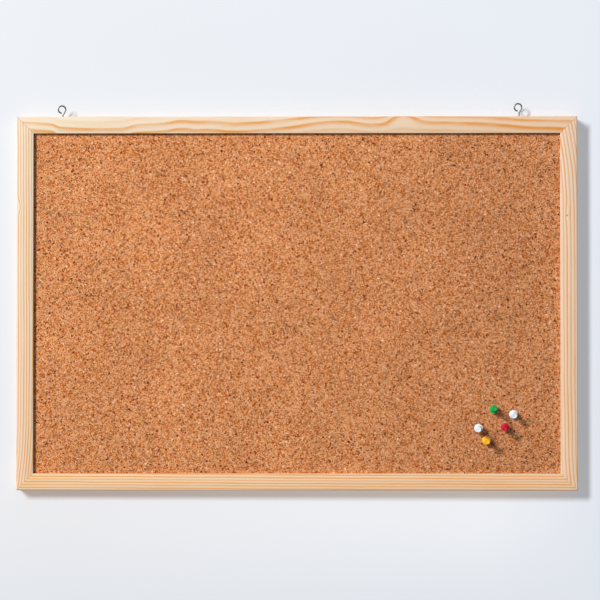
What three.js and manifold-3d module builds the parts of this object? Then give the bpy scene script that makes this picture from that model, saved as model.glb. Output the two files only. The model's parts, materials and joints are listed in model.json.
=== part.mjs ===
// Cork pin board: a mitred pine frame, grooved round a cork-faced panel, that hangs from two
// screw eyes, with five push pins stuck in the cork.
// Millimetres, +Z up, +Y into the wall. The origin is the middle of the top rail's back face.
import * as THREE from "three";
import { mergeVertices } from "three/addons/utils/BufferGeometryUtils.js";
import Module from "manifold-3d";

const wasm = await Module();
wasm.setup();

// Board and frame section
const BOARD_WIDTH = 600;
const BOARD_HEIGHT = 400;
const RAIL_WEB = 12;
const GROOVE_DEPTH = 6;
const FRONT_LIP = 3.8;
const BACK_LIP = 2.1;
const FRONT_ROUND = 1.2;
const INNER_ROUND = 0.4;
const BACK_ROUND = 0.6;
const MITRE_GAP = 0.2;

// Panel: cork sheet, softboard core and backing board, glued together
const CORK_THICKNESS = 2;
const CORE_THICKNESS = 6;
const BACKING_THICKNESS = 0.8;
const PANEL_FACE_CLEARANCE = 0.15;
const PANEL_EDGE_CLEARANCE = 0.5;

// V-nails driven across each mitre from the back, spaced evenly over the solid web of the rail
const VNAIL_LEG = 5;
const VNAIL_STEEL = 0.5;
const VNAIL_HEIGHT = 9;
const VNAIL_SUNK = 0.3;
const VNAIL_CLEARANCE = 0.15;
const VNAIL_PLACES = ["outer", "inner"];

// Screw eyes in the top edge
const EYE_WIRE = 1.6;
const EYE_INSIDE = 6.2;
const EYE_NECK = 2.2;
const EYE_OFFSET = 0.9;
const EYE_END_GAP = 0.5;
const EYE_TIP_LENGTH = 1.4;
const EYE_THREAD_PITCH = 1.1;
const EYE_THREAD_HEIGHT = 0.32;
const EYE_THREAD_CORE = 1.24;
const EYE_HOLE_CLEARANCE = 0.15;
const EYE_HOLE_FLOOR = 1.15;
// Each eye's place is taken from its end of the board and from the front; its shank rises clear of
// the rail before it bends into the ring, and the ring is turned, in degrees, from facing the room.
const EYES = [
  { side: "left", hand: -1, fromEnd: 49, fromFront: 3.2, rise: 1.8, turn: 9 },
  { side: "right", hand: 1, fromEnd: 61.5, fromFront: 7.5, rise: 4.2, turn: -7 },
];

// Push pins: a moulded grip with a wide collar and a small head, on a steel needle
const GRIP_HEIGHT = 13;
const HEAD_DIAMETER = 5.8;
const HEAD_THICKNESS = 2.2;
const HEAD_DISH = 0.25;
const WAIST_DIAMETER = 3.8;
const COLLAR_DIAMETER = 9;
const COLLAR_THICKNESS = 1.4;
const NEEDLE_DIAMETER = 1.1;
const NEEDLE_LENGTH = 10;
const NEEDLE_POINT = 2.2;
const SOCKET_ROOF = 4.5;
const SOCKET_CLEARANCE = 0.1;
const NEEDLE_HOLE_CLEARANCE = 0.3;
// Each pin's place is taken from the board's right and bottom edges; its lean is in degrees, and
// the length of needle shown is what stands between the cork and the collar.
const PINS = [
  { name: "green_pin", fromRight: 89.5, fromBottom: 86.2, leanRight: -3, leanUp: 6, shown: 6 },
  { name: "upper_white_pin", fromRight: 68.7, fromBottom: 81.7, leanRight: -1, leanUp: -4, shown: 3.6 },
  { name: "lower_white_pin", fromRight: 105.6, fromBottom: 67.2, leanRight: -5, leanUp: -3, shown: 6.5 },
  { name: "red_pin", fromRight: 77.1, fromBottom: 68.5, leanRight: -7.5, leanUp: -5, shown: 5.5 },
  { name: "yellow_pin", fromRight: 97.7, fromBottom: 54.1, leanRight: -1, leanUp: -3, shown: 5.7 },
];

// Facets on round work, and how far a cutting tool reaches past the face that it enters
const ARC_FACETS = 4;
const WIRE_FACETS = 10;
const WIRE_STEPS = 52;
const RING_POINTS = 24;
const THREAD_FACETS = 10;
const THREAD_ROWS_PER_TURN = 5;
const GRIP_FACETS = 20;
const NEEDLE_FACETS = 12;
const CUT_PAST = 2;

// Depths, measured from the wall at y = 0 towards the viewer at -y
const PANEL_THICKNESS = CORK_THICKNESS + CORE_THICKNESS + BACKING_THICKNESS;
const RAIL_FACE = RAIL_WEB + GROOVE_DEPTH;
const RAIL_DEPTH = FRONT_LIP + PANEL_THICKNESS + 2 * PANEL_FACE_CLEARANCE + BACK_LIP;
const FRONT_Y = -RAIL_DEPTH;
const CORK_FRONT_Y = FRONT_Y + FRONT_LIP + PANEL_FACE_CLEARANCE;
const CORE_FRONT_Y = CORK_FRONT_Y + CORK_THICKNESS;
const BACKING_FRONT_Y = CORE_FRONT_Y + CORE_THICKNESS;
const GROOVE_FRONT_Y = FRONT_Y + FRONT_LIP;
const GROOVE_BACK_Y = -BACK_LIP;

// Surface finishes
const finish = (color, roughness, metalness = 0) =>
  new THREE.MeshStandardMaterial({ color, roughness, metalness });
const PINE = finish(0xe8c79a, 0.6);
const CORK = finish(0xc68755, 0.9);
const SOFTBOARD = finish(0xa98d68, 0.95);
const BACKING = finish(0x8a6a48, 0.8);
const STEEL = finish(0xaeb1b5, 0.35, 1);
const ZINC = finish(0xc5c9cc, 0.25, 1);
const PLASTICS = {
  green_pin: finish(0x1f9a4c, 0.35),
  upper_white_pin: finish(0xeef1f5, 0.35),
  lower_white_pin: finish(0xeef1f5, 0.35),
  red_pin: finish(0xb81f36, 0.35),
  yellow_pin: finish(0xf6b62a, 0.35),
};

// Closed geometry as a solid, and a solid as geometry
function solidOf(geometry) {
  const bare = new THREE.BufferGeometry();
  bare.setAttribute("position", geometry.getAttribute("position"));
  bare.setIndex(geometry.index);
  const merged = mergeVertices(bare);
  const mesh = new wasm.Mesh({
    numProp: 3,
    vertProperties: merged.getAttribute("position").array,
    triVerts: new Uint32Array(merged.index.array),
  });
  return new wasm.Manifold(mesh);
}

function geometryOf(solid) {
  const { vertProperties, triVerts } = solid.getMesh();
  const geometry = new THREE.BufferGeometry();
  geometry.setAttribute("position", new THREE.BufferAttribute(vertProperties, 3));
  geometry.setIndex(new THREE.BufferAttribute(triVerts, 1));
  geometry.computeVertexNormals();
  return geometry;
}

function cut(geometry, tools) {
  let solid = solidOf(geometry);
  for (const tool of tools) {
    solid = solid.subtract(solidOf(tool));
  }
  return geometryOf(solid);
}

function join(first, second) {
  return geometryOf(solidOf(first).add(solidOf(second)));
}

function named(name, geometry, material) {
  const mesh = new THREE.Mesh(geometry, material);
  mesh.name = name;
  return mesh;
}

// Frame. Each rail is drawn as the top one, with x along it and z up to its outer edge, and
// turned about the board's centre into its own place.
function railSection() {
  const section = new THREE.Shape();
  const inner = -RAIL_FACE;
  const grooveFloor = inner + GROOVE_DEPTH;
  section.moveTo(0, -BACK_ROUND);
  section.lineTo(0, FRONT_Y + FRONT_ROUND);
  section.absarc(-FRONT_ROUND, FRONT_Y + FRONT_ROUND, FRONT_ROUND, 0, -Math.PI / 2, true);
  section.lineTo(inner + INNER_ROUND, FRONT_Y);
  section.absarc(inner + INNER_ROUND, FRONT_Y + INNER_ROUND, INNER_ROUND, -Math.PI / 2, -Math.PI, true);
  section.lineTo(inner, GROOVE_FRONT_Y);
  section.lineTo(grooveFloor, GROOVE_FRONT_Y);
  section.lineTo(grooveFloor, GROOVE_BACK_Y);
  section.lineTo(inner, GROOVE_BACK_Y);
  section.lineTo(inner, -BACK_ROUND);
  section.absarc(inner + BACK_ROUND, -BACK_ROUND, BACK_ROUND, -Math.PI, -Math.PI * 1.5, true);
  section.lineTo(-BACK_ROUND, 0);
  section.absarc(-BACK_ROUND, -BACK_ROUND, BACK_ROUND, Math.PI / 2, 0, true);
  return section;
}

// The section is extruded to a unit length, then each end is drawn back by its distance from
// the outer edge, which is the 45 degree mitre.
function mitredRail(length, outer) {
  const geometry = new THREE.ExtrudeGeometry(railSection(), {
    depth: 1,
    bevelEnabled: false,
    curveSegments: ARC_FACETS,
  });
  const place = geometry.getAttribute("position");
  for (let i = 0; i < place.count; i++) {
    const inset = -place.getX(i);
    const end = place.getZ(i) > 0.5 ? -1 : 1;
    const reach = length / 2 - inset - MITRE_GAP / 2;
    place.setXYZ(i, end * reach, place.getY(i), outer - inset);
  }
  return geometry;
}

// A V-nail is a strip folded square. Its fold is on the mitre and one leg runs along each rail.
function vNailGeometry(clearance, sunk) {
  const half = VNAIL_STEEL / 2 + clearance;
  const leg = VNAIL_LEG + clearance;
  const strip = new THREE.Shape();
  strip.moveTo(-half, half);
  strip.lineTo(-half, -leg);
  strip.lineTo(half, -leg);
  strip.lineTo(half, -half);
  strip.lineTo(leg, -half);
  strip.lineTo(leg, half);
  const height = VNAIL_HEIGHT + 2 * clearance + VNAIL_SUNK - sunk;
  const geometry = new THREE.ExtrudeGeometry(strip, { depth: height, bevelEnabled: false });
  geometry.rotateX(Math.PI / 2);
  geometry.translate(0, clearance - sunk, 0);
  return geometry;
}

const vNailInset = (order) => (RAIL_WEB * (order + 1)) / (VNAIL_PLACES.length + 1);

function vNailSlots(length, outer) {
  const slots = [];
  for (let order = 0; order < VNAIL_PLACES.length; order++) {
    const inset = vNailInset(order);
    for (const end of [-1, 1]) {
      const slot = vNailGeometry(VNAIL_CLEARANCE, 0);
      if (end > 0) {
        slot.rotateY(Math.PI / 2);
      }
      slots.push(slot.translate(end * (length / 2 - inset), 0, outer - inset));
    }
  }
  return slots;
}

function frameSide(name, startCorner, length, outer, turn, extraCuts = []) {
  const side = new THREE.Group();
  const cuts = [...vNailSlots(length, outer), ...extraCuts];
  side.add(named(name, cut(mitredRail(length, outer), cuts), PINE));
  VNAIL_PLACES.forEach((place, order) => {
    const inset = vNailInset(order);
    const nail = named(`v_nail_${startCorner}_${place}`, vNailGeometry(0, VNAIL_SUNK), STEEL);
    nail.position.set(-length / 2 + inset, 0, outer - inset);
    side.add(nail);
  });
  side.rotation.y = turn;
  return side;
}

// Panel layers, each a flat sheet held in the groove on all four sides
const PANEL_INSET = RAIL_WEB + PANEL_EDGE_CLEARANCE;
const PANEL_WIDTH = BOARD_WIDTH - 2 * PANEL_INSET;
const PANEL_HEIGHT = BOARD_HEIGHT - 2 * PANEL_INSET;

function sheet(frontY, thickness) {
  const geometry = new THREE.BoxGeometry(PANEL_WIDTH, thickness, PANEL_HEIGHT);
  return geometry.translate(0, frontY + thickness / 2, 0);
}

// Push pins. A pin is drawn with the foot of its grip at y = 0, its head at +y and its needle at -y.
const pinHead = ({ leanRight, leanUp }) => {
  const right = Math.tan(THREE.MathUtils.degToRad(leanRight));
  const up = Math.tan(THREE.MathUtils.degToRad(leanUp));
  return new THREE.Vector3(right, -1, up).normalize();
};

function pinPlace(pin) {
  const stand = new THREE.Group();
  const x = BOARD_WIDTH / 2 - pin.fromRight;
  const z = pin.fromBottom - BOARD_HEIGHT / 2;
  const head = pinHead(pin);
  stand.position.set(x, CORK_FRONT_Y, z).addScaledVector(head, pin.shown);
  stand.quaternion.setFromUnitVectors(new THREE.Vector3(0, 1, 0), head);
  stand.updateMatrix();
  return stand;
}

const SOCKET_DEPTH = GRIP_HEIGHT - SOCKET_ROOF;

function gripGeometry() {
  const head = HEAD_DIAMETER / 2;
  const waist = WAIST_DIAMETER / 2;
  const collar = COLLAR_DIAMETER / 2;
  const socket = NEEDLE_DIAMETER / 2 + SOCKET_CLEARANCE;
  const headFoot = GRIP_HEIGHT - HEAD_THICKNESS;
  const waistSpan = headFoot - COLLAR_THICKNESS;
  const edge = COLLAR_THICKNESS / 4;
  const rim = HEAD_THICKNESS / 4;
  const outline = new THREE.Path();
  outline.moveTo(0, SOCKET_DEPTH);
  outline.lineTo(socket, SOCKET_DEPTH);
  outline.lineTo(socket, 0);
  outline.lineTo(collar - edge, 0);
  outline.quadraticCurveTo(collar, 0, collar, edge);
  outline.lineTo(collar, COLLAR_THICKNESS - edge);
  outline.quadraticCurveTo(collar, COLLAR_THICKNESS, collar - edge, COLLAR_THICKNESS);
  outline.bezierCurveTo(
    waist, COLLAR_THICKNESS + edge,
    waist, COLLAR_THICKNESS + waistSpan / 2,
    head - rim, headFoot,
  );
  outline.quadraticCurveTo(head, headFoot, head, headFoot + rim);
  outline.lineTo(head, GRIP_HEIGHT - rim);
  outline.quadraticCurveTo(head, GRIP_HEIGHT, head - rim, GRIP_HEIGHT);
  outline.lineTo(head - 2 * rim, GRIP_HEIGHT - HEAD_DISH);
  outline.lineTo(0, GRIP_HEIGHT - HEAD_DISH);
  return new THREE.LatheGeometry(outline.getPoints(ARC_FACETS), GRIP_FACETS);
}

function needleGeometry() {
  const radius = NEEDLE_DIAMETER / 2;
  const tip = -NEEDLE_LENGTH;
  const top = SOCKET_DEPTH - SOCKET_CLEARANCE;
  const outline = [
    new THREE.Vector2(0, tip),
    new THREE.Vector2(radius, tip + NEEDLE_POINT),
    new THREE.Vector2(radius, top),
    new THREE.Vector2(0, top),
  ];
  return new THREE.LatheGeometry(outline, NEEDLE_FACETS);
}

function pushPin(pin) {
  const stand = pinPlace(pin);
  stand.add(named(`${pin.name}_grip`, gripGeometry(), PLASTICS[pin.name]));
  stand.add(named(`${pin.name}_needle`, needleGeometry(), STEEL));
  return stand;
}

// The hole that a needle makes runs through the cork and the core to the backing.
function needleHole(pin) {
  const radius = NEEDLE_DIAMETER / 2 + NEEDLE_HOLE_CLEARANCE;
  const depth = CORK_THICKNESS + CORE_THICKNESS + 2 * CUT_PAST;
  const hole = new THREE.CylinderGeometry(radius, radius, depth, NEEDLE_FACETS);
  hole.translate(0, CUT_PAST - depth / 2 - pin.shown, 0);
  return hole.applyMatrix4(pinPlace(pin).matrix);
}

// Screw eyes. An eye is drawn with its shank down z at x = 0 and the rail's edge at z = 0.
const EYE_RADIUS = (EYE_INSIDE + EYE_WIRE) / 2;
const EYE_DROP = EYE_RADIUS + EYE_NECK;
const EYE_THREAD_LENGTH = RAIL_WEB - EYE_HOLE_FLOOR - EYE_HOLE_CLEARANCE - EYE_TIP_LENGTH - EYE_WIRE / 2;

// The ring's middle is offset to the left of the shank. The wire leaves the shank on a slant that
// meets the ring as a tangent, goes round it and stops short of the slant by the end gap.
function eyeWire(bend) {
  const ringHeight = bend + EYE_DROP;
  const start = Math.atan2(-EYE_DROP, EYE_OFFSET) + Math.acos(EYE_RADIUS / Math.hypot(EYE_DROP, EYE_OFFSET));
  const end = start + 2 * Math.PI - Math.acos(1 - (EYE_WIRE + EYE_END_GAP) / EYE_RADIUS);
  const foot = -EYE_WIRE;
  const points = [new THREE.Vector3(0, 0, foot), new THREE.Vector3(0, 0, (foot + bend) / 2)];
  const meet = new THREE.Vector3(
    EYE_RADIUS * Math.cos(start) - EYE_OFFSET, 0, ringHeight + EYE_RADIUS * Math.sin(start),
  );
  const corner = new THREE.Vector3(0, 0, bend);
  const round = EYE_WIRE / 2;
  points.push(new THREE.Vector3(0, 0, bend - round));
  points.push(corner.clone().lerp(meet, round / corner.distanceTo(meet)));
  for (let step = 0; step <= RING_POINTS; step++) {
    const angle = start + ((end - start) * step) / RING_POINTS;
    const x = EYE_RADIUS * Math.cos(angle) - EYE_OFFSET;
    const z = ringHeight + EYE_RADIUS * Math.sin(angle);
    points.push(new THREE.Vector3(x, 0, z));
  }
  const section = new THREE.Shape().absarc(0, 0, EYE_WIRE / 2, 0, 2 * Math.PI);
  return new THREE.ExtrudeGeometry(section, {
    extrudePath: new THREE.CatmullRomCurve3(points),
    steps: WIRE_STEPS,
    curveSegments: WIRE_FACETS / 2,
  });
}

// The thread is a pointed core whose radius rises to a crest once in every pitch. The crest
// follows the turn, so it climbs as a right-hand helix, and it fades out at both ends.
function eyeThread() {
  const turns = EYE_THREAD_LENGTH / EYE_THREAD_PITCH;
  const rows = Math.round(turns * THREAD_ROWS_PER_TURN);
  const core = EYE_THREAD_CORE / 2;
  const top = -EYE_WIRE / 2;
  const bottom = top - EYE_THREAD_LENGTH;
  const position = [0, 0, bottom - EYE_TIP_LENGTH];
  for (let row = 0; row <= rows; row++) {
    const climb = (row / rows) * EYE_THREAD_LENGTH;
    const fade = Math.min(1, (rows - row) / THREAD_ROWS_PER_TURN, row / THREAD_ROWS_PER_TURN);
    for (let facet = 0; facet < THREAD_FACETS; facet++) {
      const turn = facet / THREAD_FACETS;
      const phase = climb / EYE_THREAD_PITCH - turn;
      const crest = 1 - 2 * Math.abs(phase - Math.floor(phase) - 0.5);
      const radius = core + EYE_THREAD_HEIGHT * crest * fade;
      const angle = turn * 2 * Math.PI;
      position.push(radius * Math.cos(angle), radius * Math.sin(angle), bottom + climb);
    }
  }
  position.push(0, 0, top);
  const apex = position.length / 3 - 1;
  const index = [];
  for (let facet = 0; facet < THREAD_FACETS; facet++) {
    const next = (facet + 1) % THREAD_FACETS;
    index.push(0, 1 + next, 1 + facet);
    for (let row = 0; row < rows; row++) {
      const low = 1 + row * THREAD_FACETS;
      const high = low + THREAD_FACETS;
      index.push(low + facet, low + next, high + next);
      index.push(low + facet, high + next, high + facet);
    }
    const last = 1 + rows * THREAD_FACETS;
    index.push(last + facet, last + next, apex);
  }
  const geometry = new THREE.BufferGeometry();
  geometry.setAttribute("position", new THREE.Float32BufferAttribute(position, 3));
  geometry.setIndex(index);
  return geometry;
}

const eyePlace = ({ hand, fromEnd, fromFront }) =>
  new THREE.Vector3(hand * (BOARD_WIDTH / 2 - fromEnd), FRONT_Y + fromFront, BOARD_HEIGHT / 2);

function screwEye(place) {
  const { side, rise, turn } = place;
  const eye = named(`${side}_screw_eye`, join(eyeThread(), eyeWire(rise)), ZINC);
  eye.position.copy(eyePlace(place));
  eye.rotation.z = THREE.MathUtils.degToRad(turn);
  return eye;
}

function eyeHole(place) {
  const thread = EYE_THREAD_CORE / 2 + EYE_THREAD_HEIGHT;
  const radius = Math.max(thread, EYE_WIRE / 2) + EYE_HOLE_CLEARANCE;
  const bottom = EYE_WIRE / 2 + EYE_THREAD_LENGTH + EYE_TIP_LENGTH + EYE_HOLE_CLEARANCE;
  const depth = bottom + CUT_PAST;
  const hole = new THREE.CylinderGeometry(radius, radius, depth, THREAD_FACETS);
  hole.rotateX(Math.PI / 2);
  const { x, y, z } = eyePlace(place);
  return hole.translate(x, y, z + CUT_PAST - depth / 2);
}

// The assembled board, built about the board's centre
const board = new THREE.Group();
const halfWidth = BOARD_WIDTH / 2;
const halfHeight = BOARD_HEIGHT / 2;
const quarter = Math.PI / 2;
board.add(frameSide("top_rail", "top_left", BOARD_WIDTH, halfHeight, 0, EYES.map(eyeHole)));
board.add(frameSide("right_stile", "top_right", BOARD_HEIGHT, halfWidth, quarter));
board.add(frameSide("bottom_rail", "bottom_right", BOARD_WIDTH, halfHeight, 2 * quarter));
board.add(frameSide("left_stile", "bottom_left", BOARD_HEIGHT, halfWidth, 3 * quarter));

const needleHoles = PINS.map(needleHole);
board.add(named("cork_sheet", cut(sheet(CORK_FRONT_Y, CORK_THICKNESS), needleHoles), CORK));
board.add(named("softboard_core", cut(sheet(CORE_FRONT_Y, CORE_THICKNESS), needleHoles), SOFTBOARD));
board.add(named("backing_board", sheet(BACKING_FRONT_Y, BACKING_THICKNESS), BACKING));

EYES.forEach((eye) => board.add(screwEye(eye)));
PINS.forEach((pin) => board.add(pushPin(pin)));
board.position.z = RAIL_FACE / 2 - halfHeight;

const pinBoard = new THREE.Group();
pinBoard.add(board);

export default pinBoard;
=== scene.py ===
# A cork pin board in a pine frame, hung on a wall by two screw eyes, with five push pins in it.
# Metres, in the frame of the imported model: X to the right, Y into the wall, Z up, the wall at y = 0.
import json
import math
import random
import bmesh
import bpy
from mathutils import Matrix, Vector, noise


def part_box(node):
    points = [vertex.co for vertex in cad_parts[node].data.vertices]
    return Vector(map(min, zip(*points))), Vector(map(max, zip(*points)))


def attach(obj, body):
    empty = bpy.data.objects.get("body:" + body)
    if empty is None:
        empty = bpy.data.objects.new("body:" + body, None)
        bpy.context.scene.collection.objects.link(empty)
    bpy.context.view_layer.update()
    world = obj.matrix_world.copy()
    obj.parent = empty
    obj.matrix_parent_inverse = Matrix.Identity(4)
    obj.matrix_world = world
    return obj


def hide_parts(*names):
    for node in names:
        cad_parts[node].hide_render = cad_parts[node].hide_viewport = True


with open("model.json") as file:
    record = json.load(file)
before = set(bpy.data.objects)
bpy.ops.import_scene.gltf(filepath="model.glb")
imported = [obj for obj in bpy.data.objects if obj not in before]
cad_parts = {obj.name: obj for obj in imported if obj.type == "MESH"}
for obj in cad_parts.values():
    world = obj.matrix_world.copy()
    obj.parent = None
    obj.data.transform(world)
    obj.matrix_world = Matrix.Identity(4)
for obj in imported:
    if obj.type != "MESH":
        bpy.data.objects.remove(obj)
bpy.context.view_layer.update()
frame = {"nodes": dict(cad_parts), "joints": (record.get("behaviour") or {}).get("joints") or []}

# Camera. The photograph looks at the board almost square on, from about three board widths away and
# a little from below and from the right. The lens follows from the share of the picture it fills.
BOARD_SHARE = 561.4 / 600
VIEW_DISTANCE = 1.8
VIEW_RIGHT = 0.0037
VIEW_UP = 0.0034
VIEW_TURN = 0.0098
VIEW_TILT = 0.0122
board_low = Vector((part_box("left_stile")[0].x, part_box("top_rail")[0].y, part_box("bottom_rail")[0].z))
board_high = Vector((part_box("right_stile")[1].x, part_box("top_rail")[1].y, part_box("top_rail")[1].z))
board_middle = (board_low + board_high) / 2
board_width = board_high.x - board_low.x
camera = bpy.data.objects.new("camera", bpy.data.cameras.new("camera"))
bpy.context.scene.collection.objects.link(camera)
camera.data.sensor_width = 36
camera.data.lens = camera.data.sensor_width * BOARD_SHARE * VIEW_DISTANCE / board_width
seen_middle = Vector((board_middle.x + VIEW_RIGHT, board_low.y, board_middle.z + VIEW_UP))
camera.location = seen_middle + VIEW_DISTANCE * Vector((VIEW_TURN, -1, -VIEW_TILT))
camera.rotation_euler = (math.pi / 2 + VIEW_TILT, 0, VIEW_TURN)
bpy.context.scene.camera = camera
bpy.context.scene.view_settings.view_transform = "Standard"

# Wall. The board hangs by its eyes on smooth plaster painted matt white, nearly touching it on the
# left and standing off a little on the right. The wall has one side only, so the back can be seen.
# Its colour carries painted light: brighter and bluer towards the right, a faint glow all over, and a
# warm painted bounce under the board.
WALL_WIDTH = 9
WALL_GAP = 0.0004
WALL_TURN = 0.0035
WALL_LEAN = -0.0006
# Painted light: the paint grows brighter and bluer towards the right, evening out the lamp's falloff and
# adding a cool cast.
WALL_PAINT_AND_LIGHT_LEFT = (0.447, 0.472, 0.512, 1)
WALL_PAINT_AND_LIGHT_RIGHT = (0.505, 0.54, 0.60, 1)
WALL_PAINTED_LIGHT_CHANGES_MM = (-250, 350)
# The wall glows a little all over, a painted light that lifts the shadows on it.
WALL_PAINTED_GLOW = 0.26
WALL_PAINTED_GLOW_HIGH = (1, 0.99, 0.98, 1)
# A warm painted bounce glows in the shadow under the board, with the paint there changed to keep the lit
# wall neutral.
WALL_PAINTED_BOUNCE_LEFT = (1.33, 1.0, 0.78, 1)
WALL_PAINTED_BOUNCE_RIGHT = (1.55, 1.28, 1.06, 1)
WALL_PAINT_UNDER_BOUNCE = (0.93, 1.04, 1.11, 1)
WALL_BOUNCE_BEGINS_MM = (-340, -400)
WALL_BOUNCE_FADES_MM = (-425, -520)
WALL_BOUNCE_ENDS_MM = (200, 330)
WALL_PATCHES_PER_MM = 0.004
WALL_UNEVEN = (0.98, 1.02)


def add(tree, kind, inputs=None, **settings):
    """Add a shader node. Inputs are values to set or sockets to link."""
    made = tree.nodes.new("ShaderNode" + kind)
    for name, value in settings.items():
        setattr(made, name, value)
    for socket, value in (inputs or {}).items():
        if isinstance(value, bpy.types.NodeSocket):
            tree.links.new(value, made.inputs[socket])
        else:
            made.inputs[socket].default_value = value
    return made


def mix(tree, factor, first, second, blend="MIX"):
    """Mix two colours."""
    both = {0: factor, 6: first, 7: second}
    return add(tree, "Mix", both, data_type="RGBA", blend_type=blend).outputs[2]


def new_material(name):
    """A material with its node tree, its shader and the millimetre place of each point on it."""
    material = bpy.data.materials.new(name)
    material.use_nodes = True
    tree = material.node_tree
    place = add(tree, "TexCoord").outputs["Object"]
    place_mm = add(tree, "Mapping", {"Vector": place, "Scale": (1000, 1000, 1000)}).outputs[0]
    return material, tree, tree.nodes["Principled BSDF"], place_mm


def calc(tree, operation, *terms):
    """Arithmetic on values and sockets."""
    return add(tree, "Math", dict(enumerate(terms)), operation=operation).outputs[0]


def spread(tree, value, start, end, low=0.0, high=1.0, way="LINEAR"):
    """Take a value from low to high as it goes from start to end."""
    limits = {"Value": value, "From Min": start, "From Max": end, "To Min": low, "To Max": high}
    return add(tree, "MapRange", limits, interpolation_type=way).outputs["Result"]


def grey(tree, value):
    """A grey as light as the value."""
    return add(tree, "CombineColor", {0: value, 1: value, 2: value}).outputs[0]


bpy.ops.object.select_all(action="DESELECT")
wall_y = WALL_GAP + WALL_TURN * board_width / 2 + WALL_LEAN * (board_high.z - board_middle.z)
bpy.ops.mesh.primitive_plane_add(
    size=WALL_WIDTH,
    location=(board_middle.x, wall_y, board_middle.z),
    rotation=(math.pi / 2 + WALL_LEAN, 0, WALL_TURN),
)
wall = bpy.context.active_object
wall.name = "wall"
bpy.ops.object.transform_apply(location=True, rotation=True, scale=True)
wall.visible_glossy = False
wall.visible_transmission = False
wall.visible_shadow = False
wall_paint_and_painted_light, tree, shader, place_mm = new_material("wall_paint_and_painted_light")
shader.inputs["Roughness"].default_value = 0.9
shader.inputs["Specular IOR Level"].default_value = 0.1
# Painted light: the wall glows though it is no lamp.
shader.inputs["Emission Strength"].default_value = WALL_PAINTED_GLOW
wall_axes = add(tree, "SeparateXYZ", {0: place_mm}).outputs
to_right = spread(tree, wall_axes["X"], *WALL_PAINTED_LIGHT_CHANGES_MM)
# The mask of the painted warm bounce under the board.
sunk = spread(tree, wall_axes["Z"], *WALL_BOUNCE_BEGINS_MM)
ended = spread(tree, wall_axes["X"], *WALL_BOUNCE_ENDS_MM, 1.0, 0.0)
faded = spread(tree, wall_axes["Z"], *WALL_BOUNCE_FADES_MM, 1.0, 0.0)
low = calc(tree, "MULTIPLY", calc(tree, "MULTIPLY", sunk, ended), faded)
# Painted light: a warm painted bounce glows in the shadow under the board, and ends towards the right.
painted_bounce = mix(tree, to_right, WALL_PAINTED_BOUNCE_LEFT, WALL_PAINTED_BOUNCE_RIGHT)
tree.links.new(mix(tree, low, WALL_PAINTED_GLOW_HIGH, painted_bounce), shader.inputs["Emission Color"])
# Painted light: brighter and bluer towards the right.
paint_and_light = mix(tree, to_right, WALL_PAINT_AND_LIGHT_LEFT, WALL_PAINT_AND_LIGHT_RIGHT)
paint_and_light = mix(tree, low, paint_and_light, WALL_PAINT_UNDER_BOUNCE, "MULTIPLY")
patches = {"Vector": place_mm, "Scale": WALL_PATCHES_PER_MM, "Detail": 2}
uneven = spread(tree, add(tree, "TexNoise", patches).outputs["Fac"], 0.0, 1.0, *WALL_UNEVEN)
tree.links.new(mix(tree, 1.0, paint_and_light, grey(tree, uneven), "MULTIPLY"), shader.inputs["Base Color"])
behind = add(tree, "NewGeometry").outputs["Backfacing"]
unseen = add(tree, "BsdfTransparent").outputs[0]
one_sided = add(tree, "MixShader", {0: behind, 1: shader.outputs[0], 2: unseen})
tree.links.new(one_sided.outputs[0], tree.nodes["Material Output"].inputs["Surface"])
wall.data.materials.append(wall_paint_and_painted_light)

# Light. One long warm lamp hangs high on the left, across its own light, and draws the shadows to
# the lower right. The room gives a soft cool fill, and a wide lamp behind lights the back.
KEY_FROM_BOARD = Vector((-2.55, -3.0, 1.85))
KEY_SIZE = (1.6, 0.45)
KEY_LIES_ALONG = Vector((0.57, 0, 0.82))
KEY_WATTS = 250
KEY_COLOUR = (1.0, 0.97, 0.93)
BACK_FROM_BOARD = Vector((-0.9, 1.5, 0.8))
BACK_SIZE = (1.2, 1.2)
BACK_LIES_ALONG = Vector((1, 0, 0))
BACK_WATTS = 30
BACK_COLOUR = (1.0, 0.98, 0.96)
ROOM_FILL = (0.80, 0.90, 1.0, 1)
ROOM_FILL_STRENGTH = 0.30
ROOM_SEEN = (0.88, 0.90, 0.92, 1)


def lamp(name, from_board, size, lies_along, watts, colour):
    """An oval lamp that points at the middle of the board, with its long way turned as told."""
    light = bpy.data.objects.new(name, bpy.data.lights.new(name, "AREA"))
    bpy.context.scene.collection.objects.link(light)
    light.data.shape = "ELLIPSE"
    light.data.size, light.data.size_y = size
    light.data.energy = watts
    light.data.color = colour
    light.location = board_middle + from_board
    away = from_board.normalized()
    short_way = away.cross(lies_along).normalized()
    long_way = short_way.cross(away)
    light.rotation_euler = Matrix((long_way, short_way, away)).transposed().to_euler()
    light.visible_camera = False


lamp("key_lamp", KEY_FROM_BOARD, KEY_SIZE, KEY_LIES_ALONG, KEY_WATTS, KEY_COLOUR)
lamp("back_lamp", BACK_FROM_BOARD, BACK_SIZE, BACK_LIES_ALONG, BACK_WATTS, BACK_COLOUR)
room = bpy.data.worlds.new("room")
room.use_nodes = True
bpy.context.scene.world = room
tree = room.node_tree
fill = tree.nodes["Background"]
fill.inputs["Color"].default_value = ROOM_FILL
fill.inputs["Strength"].default_value = ROOM_FILL_STRENGTH
seen = add(tree, "Background", {"Color": ROOM_SEEN, "Strength": 1.0})
direct = add(tree, "LightPath").outputs["Is Camera Ray"]
both = add(tree, "MixShader", {0: direct, 1: fill.outputs[0], 2: seen.outputs[0]})
tree.links.new(both.outputs[0], tree.nodes["World Output"].inputs["Surface"])

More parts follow.
